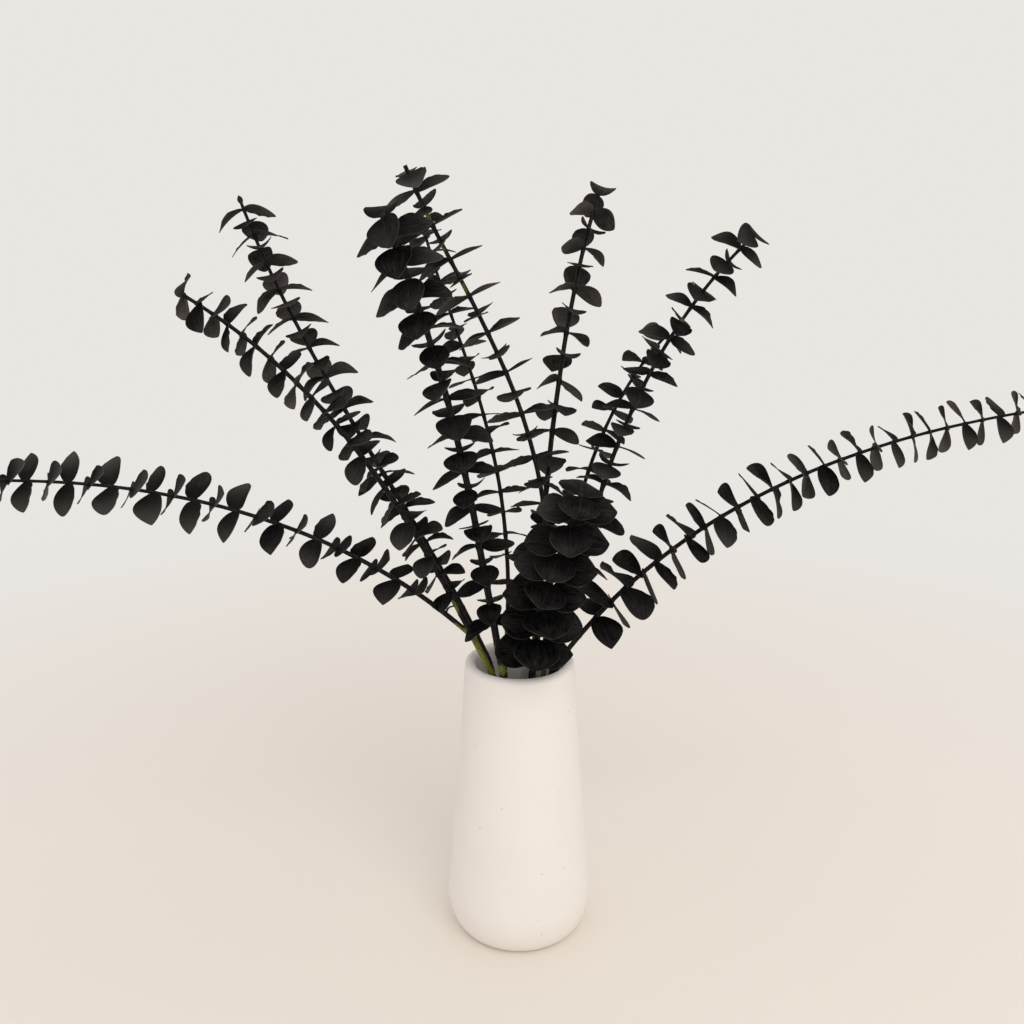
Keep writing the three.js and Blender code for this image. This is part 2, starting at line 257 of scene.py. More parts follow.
def add_piece(name, mesh, material, nodes):
    """Puts a piece in the scene, riding on the body, in place of its CAD nodes."""
    mesh.materials.append(material)
    piece = bpy.data.objects.new(name, mesh)
    bpy.context.scene.collection.objects.link(piece)
    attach(piece, "root")
    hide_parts(*nodes)
    return piece


vase_mesh = turned_mesh("stoneware_vase", vase_outline(), VASE_SIDES)
add_piece("stoneware_vase", vase_mesh, unglazed_stoneware(), ["vase"])


# The stems are cut eucalyptus shoots, woody and dyed near-black, with olive-green stretches where the
# dye did not take. Each is cut square at the foot, stands on the vase's floor, crosses its neighbours
# in a spiral inside and leans its own way above the lip. The first one forks just above the lip.
# mouth: the compass bearing of the place at the lip, 0 to the right and 90 to the back, and how far out.
# lean: degrees from upright at the lip, as drawn in the middle, and at the tip.
# bearing: the way it leans, at the lip and at the tip. length: from the lip to the tip.
# thick: the radius at the foot and at the tip.
# leaves: how far above the lip the first pair sits, how many pairs, and the turn of the first pair.
# size: the length of a leaf at the lowest pair and at the tip.
# breadth: the width of a leaf as a share of its length, at the lowest pair and at the tip.
# droop: degrees that the leaves bend back towards the foot, and what is added for a leaf that points up.
# arch: degrees that a blade bends down along its length.
# facing: how far the faces of the leaves turn from the stem's heading towards the light.
# pale: how much paler the leaves are painted, at the lowest pair and at the tip, below zero darker:
# painted light and shade for how brightly each spray's leaves are lit.
# tip: cut off short, ending in a bud, or ending in its last pair of leaves.
# green: undyed places, each with its height above the lip, half its length and the side it is on.
STEMS = [
    {
        "name": "left_forked", "mouth": (222, 0.027), "lean": (25, 26, 58), "bearing": (181, 194),
        "length": 0.317, "thick": (0.0030, 0.0011), "leaves": (0.062, 22, 124),
        "size": (0.021, 0.019), "breadth": (0.80, 0.78), "droop": (17, -28), "arch": 24, "tip": "leaf",
        "facing": 0.35, "pale": (0, 0.2),
        "green": [(-0.012, 0.016, 330), (0.012, 0.014, 330), (0.028, 0.006, 300), (0.052, 0.007, 0)],
    },
    {
        "name": "left_back", "mouth": (176, 0.022), "lean": (24, 43, 27), "bearing": (172, 142),
        "length": 0.357, "thick": (0.0025, 0.0011), "leaves": (0.078, 24, 80),
        "size": (0.021, 0.023), "breadth": (0.80, 0.84), "droop": (20, 12), "arch": 34, "tip": "bud",
        "facing": 0.3, "pale": (0, 0.1),
        "green": [(-0.03, 0.02, 250)],
    },
    {
        "name": "centre_front", "mouth": (246, 0.027), "lean": (11, 5, 37), "bearing": (199, 242),
        "length": 0.314, "thick": (0.0032, 0.0016), "leaves": (0.038, 24, 0),
        "size": (0.021, 0.024), "breadth": (0.82, 0.95), "droop": (14, -8), "arch": 15, "tip": "leaf",
        "facing": 0.0, "pale": (-0.3, 0),
        "green": [(-0.014, 0.01, 210), (0.004, 0.004, 300), (0.02, 0.004, 200)],
    },
    {
        "name": "centre_back", "mouth": (110, 0.027), "lean": (-14, 44, 14), "bearing": (102, 160),
        "length": 0.312, "thick": (0.0020, 0.0010), "leaves": (0.069, 20, 60),
        "size": (0.020, 0.019), "breadth": (0.76, 0.80), "droop": (8, -10), "arch": 16, "tip": "leaf",
        "facing": 0.1, "pale": (0, 0.1),
        "green": [(-0.012, 0.02, 270), (0.012, 0.008, 250)],
    },
    {
        "name": "centre_tall", "mouth": (16, 0.018), "lean": (-15, 34, 28), "bearing": (96, 223),
        "length": 0.345, "thick": (0.0019, 0.0013), "leaves": (0.080, 20, 0),
        "size": (0.022, 0.023), "breadth": (0.80, 0.76), "droop": (2, 0), "arch": -10, "tip": "cut",
        "facing": 0.0, "pale": (-0.1, 0.5),
        "green": [(-0.02, 0.014, 270), (0.262, 0.005, 0), (0.290, 0.004, 30), (0.313, 0.006, 330)],
    },
    {
        "name": "upright", "mouth": (66, 0.027), "lean": (11, 14, 34), "bearing": (73, 59),
        "length": 0.337, "thick": (0.0027, 0.0014), "leaves": (0.075, 16, 170),
        "size": (0.023, 0.022), "breadth": (0.90, 0.84), "droop": (24, 0), "arch": 30, "tip": "leaf",
        "facing": 0.0, "pale": (-0.1, 0.1),
        "green": [(-0.008, 0.016, 290), (0.02, 0.008, 260)],
    },
    {
        "name": "right_front", "mouth": (5, 0.027), "lean": (12, 10, 48), "bearing": (-24, -30),
        "length": 0.317, "thick": (0.0028, 0.0009), "leaves": (0.072, 20, 10),
        "size": (0.022, 0.017), "breadth": (0.86, 0.92), "droop": (12, 14), "arch": 22, "tip": "leaf",
        "facing": 0.1, "pale": (-0.2, 0.1),
        "green": [(-0.03, 0.012, 270), (0.245, 0.006, 250)],
    },
    {
        "name": "right_back", "mouth": (27, 0.027), "lean": (6, 13, 51), "bearing": (39, 27),
        "length": 0.244, "thick": (0.0023, 0.0010), "leaves": (0.098, 11, 45),
        "size": (0.020, 0.018), "breadth": (0.86, 0.88), "droop": (12, 10), "arch": 22, "tip": "leaf",
        "facing": 0.1, "pale": (-0.1, 0),
        "green": [(-0.006, 0.012, 300), (0.016, 0.008, 280)],
    },
    {
        "name": "right_low", "mouth": (343, 0.027), "lean": (36, 64, 78), "bearing": (10, -20),
        "length": 0.366, "thick": (0.0024, 0.0008), "leaves": (0.043, 28, 58),
        "size": (0.028, 0.018), "breadth": (1.00, 0.70), "droop": (14, 0), "arch": 14, "tip": "leaf",
        "facing": 0.75, "pale": (-0.3, 0.7),
        "green": [(-0.03, 0.01, 250)],
    },
    {
        "name": "front", "mouth": (291, 0.025), "lean": (30, 40, 30), "bearing": (273, 296),
        "length": 0.179, "thick": (0.0026, 0.0014), "leaves": (0.023, 12, 0),
        "size": (0.027, 0.024), "breadth": (1.08, 1.00), "droop": (4, 22), "arch": 8, "tip": "leaf",
        "facing": 0.0, "pale": (-0.6, -0.3),
        "green": [(-0.012, 0.008, 200)],
    },
]
BRANCH = {
    "name": "left_forked_branch", "lean": (46, 69, 85), "bearing": (180, 215),
    "length": 0.332, "thick": (0.0018, 0.0008), "leaves": (0.051, 23, 50),
    "size": (0.021, 0.021), "breadth": (0.90, 0.80), "droop": (6, 10), "arch": 12, "tip": "leaf",
    "facing": 1.3, "pale": (-0.3, 1.1),
    "green": [(0.004, 0.006, 330), (0.014, 0.004, 30)],
}
FORK_HEIGHT = 0.026
TWIG_HEIGHT = 0.024
TWIG_TIP = Vector((-0.043, -0.0233, 0.2523))
TWIG_RADII = (0.0008, 0.0005)
TWIG_RISE = Vector((0, -0.002, 0.012))
TWIG_RUN = Vector((0.010, 0, -0.001))
TWIG_STEPS = 12
TWIG = {"tip": "cut", "green": []}
SEAT_GAP = 0.0003
FOOT_SPREAD = 0.001
SPIRAL_TURN = 50
FOOT_PULL = 0.120
LIP_PULL = 0.080
STRIDE = 0.001
STEM_SIDES = 12
STEM_TAPER = 0.9
PAIR_TURN_QUIRK = 14
LAST_PAIR_BELOW_TIP = 0.005
BARE_KNOT_SPACING = 0.019
BARE_KNOT_QUIRK = 0.15
BARE_KNOT_STRENGTH = 0.55
KNOT_REACH = 0.008
KNOT_HALF_LENGTH = 0.0011
KNOT_SWELL = 0.14
SHOULDER_HALF_LENGTH = 0.0020
SHOULDER_SWELL = 0.20
SHOULDER_DROP = 0.0008
RIDGE_HEIGHT = 0.05
RIDGE_TWIST = 90
TIP_TRIM = 4
CUT_DOME = 0.2
GROWN_DOME = 0.9
FOOT_UNDYED = 0.8
DYED_BARK = (0.0050, 0.0045, 0.0042, 1)
# Grey-brown for streaks that are partly worn dye and partly painted highlight along the stems.
WORN_AND_PAINTED_HIGHLIGHT_BARK = (0.060, 0.050, 0.044, 1)
GREEN_BARK = (0.17, 0.19, 0.028, 1)
BROWN_BARK = (0.10, 0.052, 0.022, 1)
BARK_PAINTS = ("bark_grain", "undyed")


def mix(one, other, share):
    """One number at share 0 and the other at share 1."""
    return one + (other - one) * share


def mouth_place(stem):
    """Where the middle of a stem passes the level of the lip."""
    bearing, out = stem["mouth"]
    way = math.radians(bearing)
    return Vector((out * math.cos(way), out * math.sin(way), VASE_HEIGHT))


def grow(start, axis):
    """The place and the heading of a growing stem at every stride of its length."""
    count = round(axis["length"] / STRIDE)
    places = [start.copy()]
    headings = []
    for i in range(count + 1):
        share = (i + 0.5) / count
        rest = 1 - share
        low, middle, high = axis["lean"]
        tilt = math.radians(rest**2 * low + 2 * share * rest * middle + share**2 * high)
        way = math.radians(mix(*axis["bearing"], share))
        flat = math.sin(tilt)
        headings.append(Vector((flat * math.cos(way), flat * math.sin(way), math.cos(tilt))))
        places.append(places[i] + headings[i] * STRIDE)
    return places[:-1], headings


def bend(start, start_pull, end, end_pull, steps):
    """The places along a smooth bend that leaves its start and reaches its end as it is pulled."""
    places = []
    for i in range(steps):
        t = i / steps
        place = start * (2 * t**3 - 3 * t**2 + 1) + start_pull * (t**3 - 2 * t**2 + t)
        places.append(place + end * (3 * t**2 - 2 * t**3) + end_pull * (t**3 - t**2))
    return places


def hidden_stretch(stem, first_heading):
    """The places from the cut foot on the vase's floor up to the lip."""
    mouth = mouth_place(stem)
    way = math.radians(stem["mouth"][0] + SPIRAL_TURN)
    foot = Vector((math.cos(way), math.sin(way), 0)) * (stem["mouth"][1] + FOOT_SPREAD)
    foot.z = VASE_FLOOR
    upwards = (mouth - foot).normalized()
    foot.z += SEAT_GAP + stem["thick"][0] * math.hypot(upwards.x, upwards.y)
    steps = round((mouth - foot).length / STRIDE)
    return bend(foot, upwards * FOOT_PULL, mouth, first_heading * LIP_PULL, steps)


def crosswise(heading):
    """The two directions square to a heading: to the left and to the back of an upright stem."""
    sideways = heading.cross(Vector((0, 1, 0))).normalized()
    return sideways, sideways.cross(heading)


def growth_quirk(stem, pair, trait):
    """An irregularity between -1 and 1 that is always the same for the same leaf."""
    wave = math.sin(stem * 12.9898 + pair * 78.233 + trait * 37.719) * 43758.5453
    return 2 * (wave - math.floor(wave)) - 1


def leaf_pairs(index, axis):
    """The height of each pair of leaves along its stem, and the turn of the pair."""
    first_height, count, first_turn = axis["leaves"]
    last_height = axis["length"] - LAST_PAIR_BELOW_TIP
    pairs = []
    for i in range(count):
        share = i / (count - 1)
        height = mix(first_height, last_height, share * (1.2 - 0.2 * share))
        turn = math.radians(first_turn + 90 * i + PAIR_TURN_QUIRK * growth_quirk(index, i, 0))
        pairs.append((height, turn))
    return pairs


def stem_knots(index, axis, lip):
    """Each knot: its distance along the stem, the way it faces and how much it swells."""
    pairs = leaf_pairs(index, axis)
    knots = [(lip + height, turn, 1.0) for height, turn in pairs]
    below, turn = knots[0][:2]
    while below > 2 * BARE_KNOT_SPACING:
        below -= BARE_KNOT_SPACING * (1 + BARE_KNOT_QUIRK * growth_quirk(index, len(knots), 9))
        turn += math.pi / 2
        knots.append((below, turn, BARE_KNOT_STRENGTH))
    return knots


def stem_surface(places, axis, index, lip, thick, knots):
    """The rings of a stem, with how far along each point is and how free of dye."""
    total = len(places) - 1
    rings = []
    for i, place in enumerate(places):
        heading = (places[min(i + 1, total)] - places[max(i - 1, 0)]).normalized()
        sideways, towards = crosswise(heading)
        along = i * STRIDE
        slim = mix(*thick, (i / total) ** STEM_TAPER)
        near = [knot for knot in knots if abs(knot[0] - along) < KNOT_REACH]
        ring = []
        for k in range(STEM_SIDES):
            turn = 2 * math.pi * k / STEM_SIDES
            swell = 1 + RIDGE_HEIGHT * math.cos(3 * turn + along * RIDGE_TWIST)
            for height, facing, strength in near:
                offset = (along - height) / KNOT_HALF_LENGTH
                shoulder = (along - height + SHOULDER_DROP) / SHOULDER_HALF_LENGTH
                under_leaf = math.cos(turn - facing) ** 2
                swell += KNOT_SWELL * strength * math.exp(-offset * offset)
                swell += SHOULDER_SWELL * strength * under_leaf * math.exp(-shoulder * shoulder)
            out = sideways * math.cos(turn) + towards * math.sin(turn)
            bare = 0
            for height, reach, side in axis["green"]:
                offset = (along - lip - height) / reach
                facing = 0.5 + 0.5 * math.cos(turn - math.radians(side))
                bare += math.exp(-offset * offset) * math.sqrt(facing)
            grain = (math.cos(turn), math.sin(turn), along * 60 + index * 7)
            ring.append((place + out * slim * swell, grain, min(1, bare)))
        rings.append(ring)
    return rings


def stem_part(places, axis, index, lip, thick, knots):
    """The points, faces and paint of one closed stem: rings, a flat cut foot and a tip."""
    if axis["tip"] == "leaf":
        places = places[:-TIP_TRIM]
    rings = stem_surface(places, axis, index, lip, thick, knots)
    points = [point for ring in rings for point in ring]
    faces = []
    for i in range(len(rings) - 1):
        low = i * STEM_SIDES
        for k in range(STEM_SIDES):
            after = (k + 1) % STEM_SIDES
            faces.append((low + k, low + STEM_SIDES + k, low + STEM_SIDES + after, low + after))
    foot = len(points)
    points.append((places[0], (0, 0, 0), FOOT_UNDYED))
    tip_heading = (places[-1] - places[-2]).normalized()
    dome = thick[1] * (CUT_DOME if axis["tip"] == "cut" else GROWN_DOME)
    points.append((places[-1] + tip_heading * dome, (0, 0, 0), 0))
    last = (len(rings) - 1) * STEM_SIDES
    for k in range(STEM_SIDES):
        after = (k + 1) % STEM_SIDES
        faces.append((k, after, foot))
        faces.append((last + after, last + k, foot + 1))
    return points, faces


def painted_mesh(name, parts, paints):
    """Joins parts in one mesh. Each point is a place and then a value for each of the named paints."""
    vertices = []
    faces = []
    for points, part_faces in parts:
        start = len(vertices)
        vertices += points
        faces += [tuple(start + corner for corner in face) for face in part_faces]
    mesh = bpy.data.meshes.new(name)
    mesh.from_pydata([point[0] for point in vertices], [], faces)
    for column, paint in enumerate(paints, start=1):
        values = [point[column] for point in vertices]
        if isinstance(values[0], tuple):
            attribute = mesh.attributes.new(paint, "FLOAT_VECTOR", "POINT")
            attribute.data.foreach_set("vector", [number for value in values for number in value])
        else:
            attribute = mesh.attributes.new(paint, "FLOAT", "POINT")
            attribute.data.foreach_set("value", values)
    mesh.shade_smooth()
    return mesh


def dyed_bark():
    """Near-black dye with grey streaks along the grain, partly wear and partly painted highlight, and
    speckled olive-green bark where the dye did not take.
    """
    material, tree, shader = new_material("dyed_bark", 0.55, 0.12)
    grain = add_node(tree, "ShaderNodeAttribute", attribute_name="bark_grain").outputs["Vector"]
    bare = add_node(tree, "ShaderNodeAttribute", attribute_name="undyed").outputs["Fac"]
    uneven = place_group(tree, mottle, {"Place": grain, "Cloud Scale": 0.9, "Grain Scale": 5})
    place = add_node(tree, "ShaderNodeTexCoord").outputs["Object"]
    flecks = place_group(tree, specks, {"Place": place, "Scale": 900, "Size": 0.45, "Share": 0.3})
    # Grey streaks along the grain: partly wear, partly painted highlight on the stems.
    wear_and_painted_highlight = between(tree, uneven["Grain"], 0.5, 0.66)
    black = mix_colour(tree, math_node(tree, "MULTIPLY", wear_and_painted_highlight, 0.6), DYED_BARK, WORN_AND_PAINTED_HIGHLIGHT_BARK)
    green = mix_colour(tree, math_node(tree, "MULTIPLY", uneven["Cloud"], 0.55), GREEN_BARK, BROWN_BARK)
    spotted = mix_colour(tree, math_node(tree, "MULTIPLY", flecks["Mask"], 0.75), green, DYED_BARK)
    ragged = math_node(tree, "MULTIPLY_ADD", uneven["Grain"], 1.1, -0.55)
    share = between(tree, math_node(tree, "ADD", bare, ragged), 0.38, 0.62)
    tree.links.new(mix_colour(tree, share, black, spotted), shader.inputs["Base Color"])
    rough = math_node(tree, "MULTIPLY_ADD", uneven["Grain"], 0.35, 0.35)
    tree.links.new(rough, shader.inputs["Roughness"])
    relief = math_node(tree, "ADD", uneven["Grain"], math_node(tree, "MULTIPLY", flecks["Mask"], 0.4))
    bump = add_node(tree, "ShaderNodeBump", {"Height": relief, "Strength": 0.5, "Distance": 0.0004})
    tree.links.new(bump.outputs["Normal"], shader.inputs["Normal"])
    return material


bark = dyed_bark()
shoots = []
for index, stem in enumerate(STEMS):
    places, headings = grow(mouth_place(stem), stem)
    hidden = hidden_stretch(stem, headings[0])
    lip = len(hidden) * STRIDE
    knots = stem_knots(index, stem, lip)
    parts = [stem_part(hidden + places, stem, index, lip, stem["thick"], knots)]
    shoots.append((index, stem, places, headings, f"stem_{stem['name']}"))
    if stem["name"] == "left_forked":
        fork_places, fork_headings = grow(places[round(FORK_HEIGHT / STRIDE)], BRANCH)
        fork_index = index + len(STEMS)
        fork_knots = stem_knots(fork_index, BRANCH, 0)
        parts.append(stem_part(fork_places, BRANCH, fork_index, 0, BRANCH["thick"], fork_knots))
        twig_start = fork_places[round(TWIG_HEIGHT / STRIDE)]
        twig_places = bend(twig_start, TWIG_RISE, TWIG_TIP, TWIG_RUN, TWIG_STEPS) + [TWIG_TIP]
        parts.append(stem_part(twig_places, TWIG, fork_index + 1, 1, TWIG_RADII, []))
        shoots.append((fork_index, BRANCH, fork_places, fork_headings, f"stem_{stem['name']}"))
    node = f"stem_{stem['name']}"
    add_piece(f"bark_{stem['name']}", painted_mesh(node, parts, BARK_PAINTS), bark, [node])


# The leaves are real preserved blades, dyed charcoal: thin, leathery and matt, darkest on the upper
# face and at the base, with painted light that greys their backs and outer halves and lines their rims.
# They sit on the stem in pairs, each pair a quarter turn from the last, with
# their narrow bases clasping it, and every blade is cupped, arched and twisted in its own way.
LEAF_THICKNESS = 0.00042
LEAF_BASE_THICKNESS = 0.0009
LEAF_ROWS = 16
LEAF_COLUMNS = 10
LEAF_WIDEST = 0.48
LEAF_BASE_SHARE = 0.26
BREADTH_QUIRK = 0.06
FACING_QUIRK = 0.6
LIGHT_WAY = Vector((0, -0.6, 0.8))
RIB_HEIGHT = 0.00035
RIB_HALF_WIDTH = 0.0006
BLADE_END = 0.992
CREASE_ANGLE = 50
BUD_LEAF = 0.006
LEAF_BLACK = (0.0010, 0.0010, 0.0011, 1)
LEAF_CHARCOAL = (0.0170, 0.0155, 0.0148, 1)
# The back's colours, greyer than the upper face: partly the blade's own paler underside, partly painted
# backlight.
LEAF_BACK_DARK = (0.0040, 0.0036, 0.0034, 1)
LEAF_BACK_GREY = (0.070, 0.061, 0.057, 1)
# A pale grey for the veins and flecks, and for the painted light that pales the outer half of each blade.
LEAF_VEIN_AND_PAINTED_TIP_LIGHT = (0.165, 0.147, 0.138, 1)
# The colour of the painted highlight along the rim of each blade.
LEAF_PAINTED_RIM_HIGHLIGHT = (0.11, 0.10, 0.092, 1)
LEAF_PAINTS = ("blade_place", "blade_tone", "blade_back")
LOOSE_PAIRS = 4


def blade_half_width(share, wedge, bluntness):
    """Half the width of a blade as a share of its greatest, from a narrow base to a blunt tip."""
    if share < LEAF_WIDEST:
        opening = math.sin(math.pi / 2 * share / LEAF_WIDEST) ** wedge
        return mix(LEAF_BASE_SHARE, 1, opening)
    closing = math.pi / 2 * (share - LEAF_WIDEST) / (1 - LEAF_WIDEST)
    return math.cos(closing) ** bluntness


def leaf_blade(root, heading, level, shape):
    """The points and faces of one closed leaf blade, with its paint."""
    across = heading.cross(level)
    centre = root.copy()
    upper = []
    lower = []
    step_before = 0
    for row in range(LEAF_ROWS + 1):
        share = min(0.5 - 0.5 * math.cos(math.pi * row / LEAF_ROWS), BLADE_END)
        slope = shape["droop"] + shape["arch"] * (share - 0.5)
        run = level * math.cos(slope) - heading * math.sin(slope)
        centre += run * (share - step_before) * shape["length"]
        step_before = share
        twist = shape["twist"] * (share - 0.3)
        side_way = Matrix.Rotation(twist, 3, run) @ across
        up = run.cross(side_way)
        half = shape["width"] / 2 * blade_half_width(share, shape["wedge"], shape["bluntness"])
        belly = math.sin(math.pi * min(1, share * 1.05))
        base = (1 - share) ** 5
        for column in range(LEAF_COLUMNS + 1):
            side = 2 * column / LEAF_COLUMNS - 1
            edge = abs(side)
            cup = shape["cup"] * half * edge**1.7 * (0.35 + 0.65 * belly)
            ripple = math.sin(shape["phase"] + 9 * share * (1.4 + side)) * edge**2 * belly
            lift = cup + shape["ripple"] * shape["length"] * ripple
            thick = mix(LEAF_THICKNESS, LEAF_BASE_THICKNESS, base * (1 - edge))
            rib = RIB_HEIGHT * (1 - share) * math.exp(-((side * half / RIB_HALF_WIDTH) ** 2))
            middle = centre + side_way * side * half + up * lift
            blade_place = (share, side, shape["number"])
            upper.append((middle + up * thick / 2, blade_place, shape["tone"], 0.0))
            lower.append((middle - up * (thick / 2 + rib), blade_place, shape["tone"], 1.0))
    points = upper + lower
    across_count = LEAF_COLUMNS + 1
    shift = len(upper)
    faces = []
    for row in range(LEAF_ROWS):
        for column in range(LEAF_COLUMNS):
            a = row * across_count + column
            b = a + across_count
            faces.append((a, b, b + 1, a + 1))
            faces.append((shift + a, shift + a + 1, shift + b + 1, shift + b))
        left = row * across_count
        right = left + LEAF_COLUMNS
        faces.append((left, shift + left, shift + left + across_count, left + across_count))
        faces.append((right, right + across_count, shift + right + across_count, shift + right))
    end = LEAF_ROWS * across_count
    for column in range(LEAF_COLUMNS):
        faces.append((column, column + 1, shift + column + 1, shift + column))
        far = end + column
        faces.append((far, shift + far, shift + far + 1, far + 1))
    return points, faces


def shoot_leaves(index, axis, places, headings):
    """Every blade on one shoot, pair by pair, and the bud at its tip."""
    parts = []
    pairs = leaf_pairs(index, axis)
    for i, (height, turn) in enumerate(pairs):
        share = i / (len(pairs) - 1)
        step = math.floor(height / STRIDE + 0.5)
        heading = headings[step]
        sideways, towards = crosswise(heading)
        slim = mix(*axis["thick"], share)
        for side in (0, 1):
            way = turn + math.pi * side
            level = sideways * math.cos(way) + towards * math.sin(way)
            droop = axis["droop"][0] + axis["droop"][1] * level.z + 9 * growth_quirk(index, i, 1 + side)
            turned = axis["facing"] + FACING_QUIRK * growth_quirk(index, i, 25 + side)
            lit = heading + LIGHT_WAY * turned
            face = (lit - level * lit.dot(level)).normalized()
            length = mix(*axis["size"], share) * (1 + 0.1 * growth_quirk(index, i, 3 + side))
            breadth = mix(*axis["breadth"], share) + BREADTH_QUIRK * growth_quirk(index, i, 5 + side)
            shape = {
                "droop": math.radians(droop),
                "arch": math.radians(axis["arch"] + 14 * growth_quirk(index, i, 7 + side)),
                "twist": math.radians(14 * growth_quirk(index, i, 9 + side)),
                "cup": 0.16 + 0.22 * growth_quirk(index, i, 11 + side),
                "ripple": 0.012 + 0.012 * growth_quirk(index, i, 13 + side),
                "phase": 3 * growth_quirk(index, i, 15 + side),
                "wedge": 0.60 + 0.2 * growth_quirk(index, i, 23 + side),
                "bluntness": 0.78 + 0.24 * growth_quirk(index, i, 17 + side),
                # A blade's tone is its own random shade of dye plus the spray's pale share, which is
                # painted light and shade.
                "tone": max(0, 0.5 + 0.5 * growth_quirk(index, i, 19 + side) + mix(*axis["pale"], share)),
                "number": 3.0 * i + 1.3 * side + 11.0 * index,
                "length": length - slim / 2,
                "width": length * breadth,
            }
            parts.append(leaf_blade(places[step] + level * slim / 2, face, level, shape))
    if axis["tip"] == "bud":
        parts += tip_bud(index, axis, places, headings)
    return parts


def tip_bud(index, axis, places, headings):
    """Two young leaves, still folded against each other, at the end of a shoot."""
    heading = headings[-1]
    sideways, towards = crosswise(heading)
    turn = leaf_pairs(index, axis)[-1][1] + math.pi / 2
    young = []
    for side in (0, 1):
        way = turn + math.pi * side
        level = sideways * math.cos(way) + towards * math.sin(way)
        shape = {
            "droop": math.radians(-58 + 10 * growth_quirk(index, side, 21)),
            "arch": math.radians(-18),
            "twist": 0,
            "cup": 0.45,
            "ripple": 0,
            "phase": 0,
            "wedge": 0.9,
            "bluntness": 0.8,
            "tone": 0.3,
            "number": 90.0 + index,
            "length": BUD_LEAF,
            "width": BUD_LEAF * 0.62,
        }
        root = places[-1] - heading * 0.001
        young.append(leaf_blade(root, heading, level, shape))
    return young


def dyed_leaf():
    """Charcoal dye over veins and fibres, each blade with a random tone of its own. Painted light on top:
    each spray's blades lightened, some darkened, as painted light and shade, the back greyer as partly its
    own paler underside and partly painted backlight, the outer half paled with painted light through the
    thin blade, and a painted highlight along the rim.
    """
    material, tree, shader = new_material("dyed_leaf", 0.6, 0.015)
    blade = add_node(tree, "ShaderNodeAttribute", attribute_name="blade_place").outputs["Vector"]
    tone = add_node(tree, "ShaderNodeAttribute", attribute_name="blade_tone").outputs["Fac"]
    back = add_node(tree, "ShaderNodeAttribute", attribute_name="blade_back").outputs["Fac"]
    place = add_node(tree, "ShaderNodeTexCoord").outputs["Object"]
    parts = add_node(tree, "ShaderNodeSeparateXYZ", {"Vector": blade}).outputs
    edge = math_node(tree, "ABSOLUTE", parts["Y"])
    uneven = place_group(tree, mottle, {"Place": place, "Cloud Scale": 120, "Grain Scale": 900})
    flecks = place_group(tree, specks, {"Place": place, "Scale": 1100, "Size": 0.4, "Share": 0.35})
    streaked = add_node(tree, "ShaderNodeVectorMath", {0: blade, 1: (3, 16, 5)}, operation="MULTIPLY")
    fibre_inputs = {"Vector": streaked.outputs[0], "Scale": 1, "Detail": 4}
    fibres = add_node(tree, "ShaderNodeTexNoise", fibre_inputs).outputs["Fac"]
    slant = math_node(tree, "MULTIPLY_ADD", edge, -0.42, parts["X"])
    wave = math_node(tree, "PINGPONG", math_node(tree, "MULTIPLY", slant, 8), 0.5)
    side_vein = math_node(tree, "SUBTRACT", 1, between(tree, wave, 0.02, 0.1))
    midrib = math_node(tree, "SUBTRACT", 1, between(tree, edge, 0.015, 0.07))
    vein = math_node(tree, "MAXIMUM", math_node(tree, "MULTIPLY", side_vein, 0.4), midrib)
    # The blade's random tone together with the painted light and shade of its spray.
    tone_and_painted_light = math_node(tree, "MULTIPLY", math_node(tree, "POWER", tone, 1.6), 0.6)
    clouded = math_node(tree, "MULTIPLY_ADD", uneven["Cloud"], 0.25, tone_and_painted_light)
    streaky = math_node(tree, "MULTIPLY_ADD", between(tree, fibres, 0.4, 0.65), 0.3, clouded)
    upper = mix_colour(tree, streaky, LEAF_BLACK, LEAF_CHARCOAL)
    # The back is greyer: partly its own paler underside, partly painted backlight for light through the
    # thin blade.
    under = mix_colour(tree, streaky, LEAF_BACK_DARK, LEAF_BACK_GREY)
    body = mix_colour(tree, back, upper, under)
    # Painted light: the outer half of each blade is paled towards grey for light shining through and
    # glancing off it, more on the back.
    outward = math_node(tree, "MULTIPLY", between(tree, parts["X"], 0.15, 1.0), streaky)
    painted_tip_light = math_node(tree, "MULTIPLY", outward, math_node(tree, "MULTIPLY_ADD", back, 0.36, 0.24))
    tip_lit = mix_colour(tree, painted_tip_light, body, LEAF_VEIN_AND_PAINTED_TIP_LIGHT)
    veined = mix_colour(tree, math_node(tree, "MULTIPLY", vein, 0.035), tip_lit, LEAF_VEIN_AND_PAINTED_TIP_LIGHT)
    flecked = mix_colour(tree, math_node(tree, "MULTIPLY", flecks["Mask"], 0.06), veined, LEAF_VEIN_AND_PAINTED_TIP_LIGHT)
    # A painted highlight: a thin lighter line along each blade's rim, where light glances off its edge.
    painted_rim_highlight_share = math_node(tree, "MULTIPLY", between(tree, edge, 0.97, 1), 0.2)
    rim_highlighted = mix_colour(tree, painted_rim_highlight_share, flecked, LEAF_PAINTED_RIM_HIGHLIGHT)
    tree.links.new(rim_highlighted, shader.inputs["Base Color"])
    rough = math_node(tree, "MULTIPLY_ADD", uneven["Grain"], 0.4, 0.4)
    tree.links.new(rough, shader.inputs["Roughness"])
    fine = math_node(tree, "MULTIPLY_ADD", fibres, 0.8, math_node(tree, "MULTIPLY", uneven["Grain"], 0.5))
    relief = math_node(tree, "MULTIPLY_ADD", vein, -0.5, fine)
    bump = add_node(tree, "ShaderNodeBump", {"Height": relief, "Strength": 0.4, "Distance": 0.0003})
    tree.links.new(bump.outputs["Normal"], shader.inputs["Normal"])
    return material


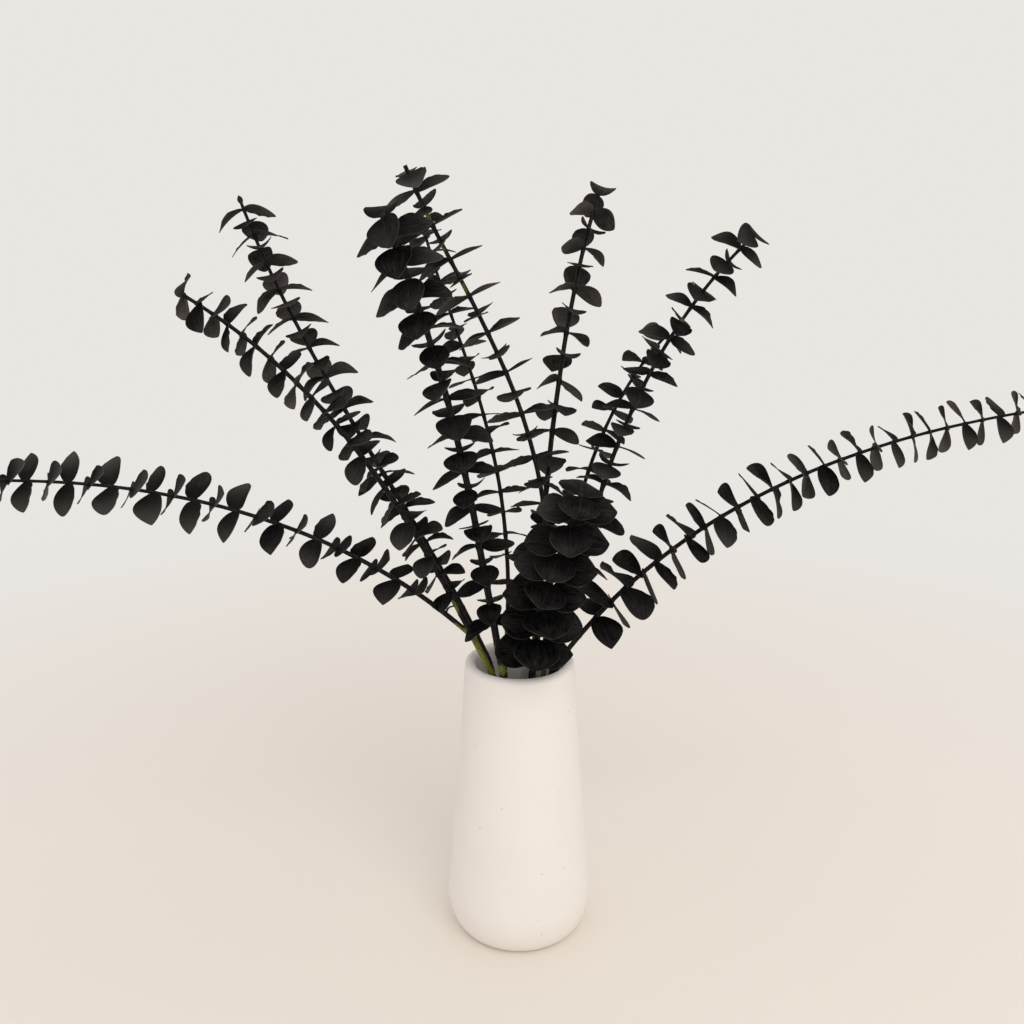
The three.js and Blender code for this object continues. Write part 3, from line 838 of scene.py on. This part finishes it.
leaf = dyed_leaf()
for index, axis, places, headings, stem_node in shoots:
    name = f"leaves_{axis['name']}"
    mesh = painted_mesh(name, shoot_leaves(index, axis, places, headings), LEAF_PAINTS)
    mesh.set_sharp_from_angle(angle=math.radians(CREASE_ANGLE))
    loose = [f"leaf_pair_{axis['name']}_{pair + 1}" for pair in range(LOOSE_PAIRS)]
    add_piece(name, mesh, leaf, [stem_node, *loose])


# A plain pale floor that fades into the pale room, with soft light from all round
# and one large soft lamp at the front right that shades the vase's left side.
FLOOR_REACH = 40
FLOOR_FADE_START = 0.2
FLOOR_FADE_END = 1.3
FLOOR_NEAR = (0.85, 0.785, 0.715, 1)
FLOOR_GONE = (0, 0, 0, 1)
ROOM_SEEN = (0.82, 0.795, 0.765, 1)
ROOM_LIGHT = (1.0, 0.985, 0.965, 1)
ROOM_STRENGTH = 0.84
LAMP_PLACE = Vector((0.6, -1.5, 1.5))
LAMP_TARGET = Vector((0, 0, 0.2))
LAMP_SIZE = 1.4
LAMP_WATTS = 13
LAMP_COLOUR = (1, 0.985, 0.96)

floor_mesh = bpy.data.meshes.new("floor")
corners = [(x * FLOOR_REACH, y * FLOOR_REACH, 0) for x, y in ((-1, -1), (1, -1), (1, 1), (-1, 1))]
floor_mesh.from_pydata(corners, [], [(0, 1, 2, 3)])
floor = bpy.data.objects.new("floor", floor_mesh)
bpy.context.scene.collection.objects.link(floor)
floor_material, floor_tree, floor_shader = new_material("pale_floor", 0.8, 0)
floor_place = add_node(floor_tree, "ShaderNodeTexCoord").outputs["Object"]
floor_distance = add_node(floor_tree, "ShaderNodeVectorMath", {0: floor_place}, operation="LENGTH")
floor_fade = between(floor_tree, floor_distance.outputs["Value"], FLOOR_FADE_START, FLOOR_FADE_END)
floor_colour = mix_colour(floor_tree, floor_fade, FLOOR_NEAR, FLOOR_GONE)
floor_tree.links.new(floor_colour, floor_shader.inputs["Base Color"])
floor_tree.links.new(floor_fade, floor_shader.inputs["Emission Strength"])
floor_shader.inputs["Emission Color"].default_value = ROOM_SEEN
floor_mesh.materials.append(floor_material)

room = bpy.data.worlds.new("room")
room.use_nodes = True
room_tree = room.node_tree
room_seen = add_node(room_tree, "ShaderNodeBackground", {"Color": ROOM_SEEN, "Strength": 1})
room_light = room_tree.nodes["Background"]
room_light.inputs["Color"].default_value = ROOM_LIGHT
room_light.inputs["Strength"].default_value = ROOM_STRENGTH
straight = add_node(room_tree, "ShaderNodeLightPath").outputs["Is Camera Ray"]
room_mix = add_node(room_tree, "ShaderNodeMixShader", {0: straight})
room_tree.links.new(room_light.outputs[0], room_mix.inputs[1])
room_tree.links.new(room_seen.outputs[0], room_mix.inputs[2])
room_tree.links.new(room_mix.outputs[0], room_tree.nodes["World Output"].inputs["Surface"])
bpy.context.scene.world = room
bpy.context.scene.view_settings.view_transform = "Standard"

lamp_data = bpy.data.lights.new("soft_lamp", "AREA")
lamp_data.size = LAMP_SIZE
lamp_data.energy = LAMP_WATTS
lamp_data.color = LAMP_COLOUR
lamp = bpy.data.objects.new("soft_lamp", lamp_data)
lamp.location = LAMP_PLACE
lamp.rotation_euler = (LAMP_TARGET - LAMP_PLACE).to_track_quat("-Z", "Y").to_euler()
bpy.context.scene.collection.objects.link(lamp)
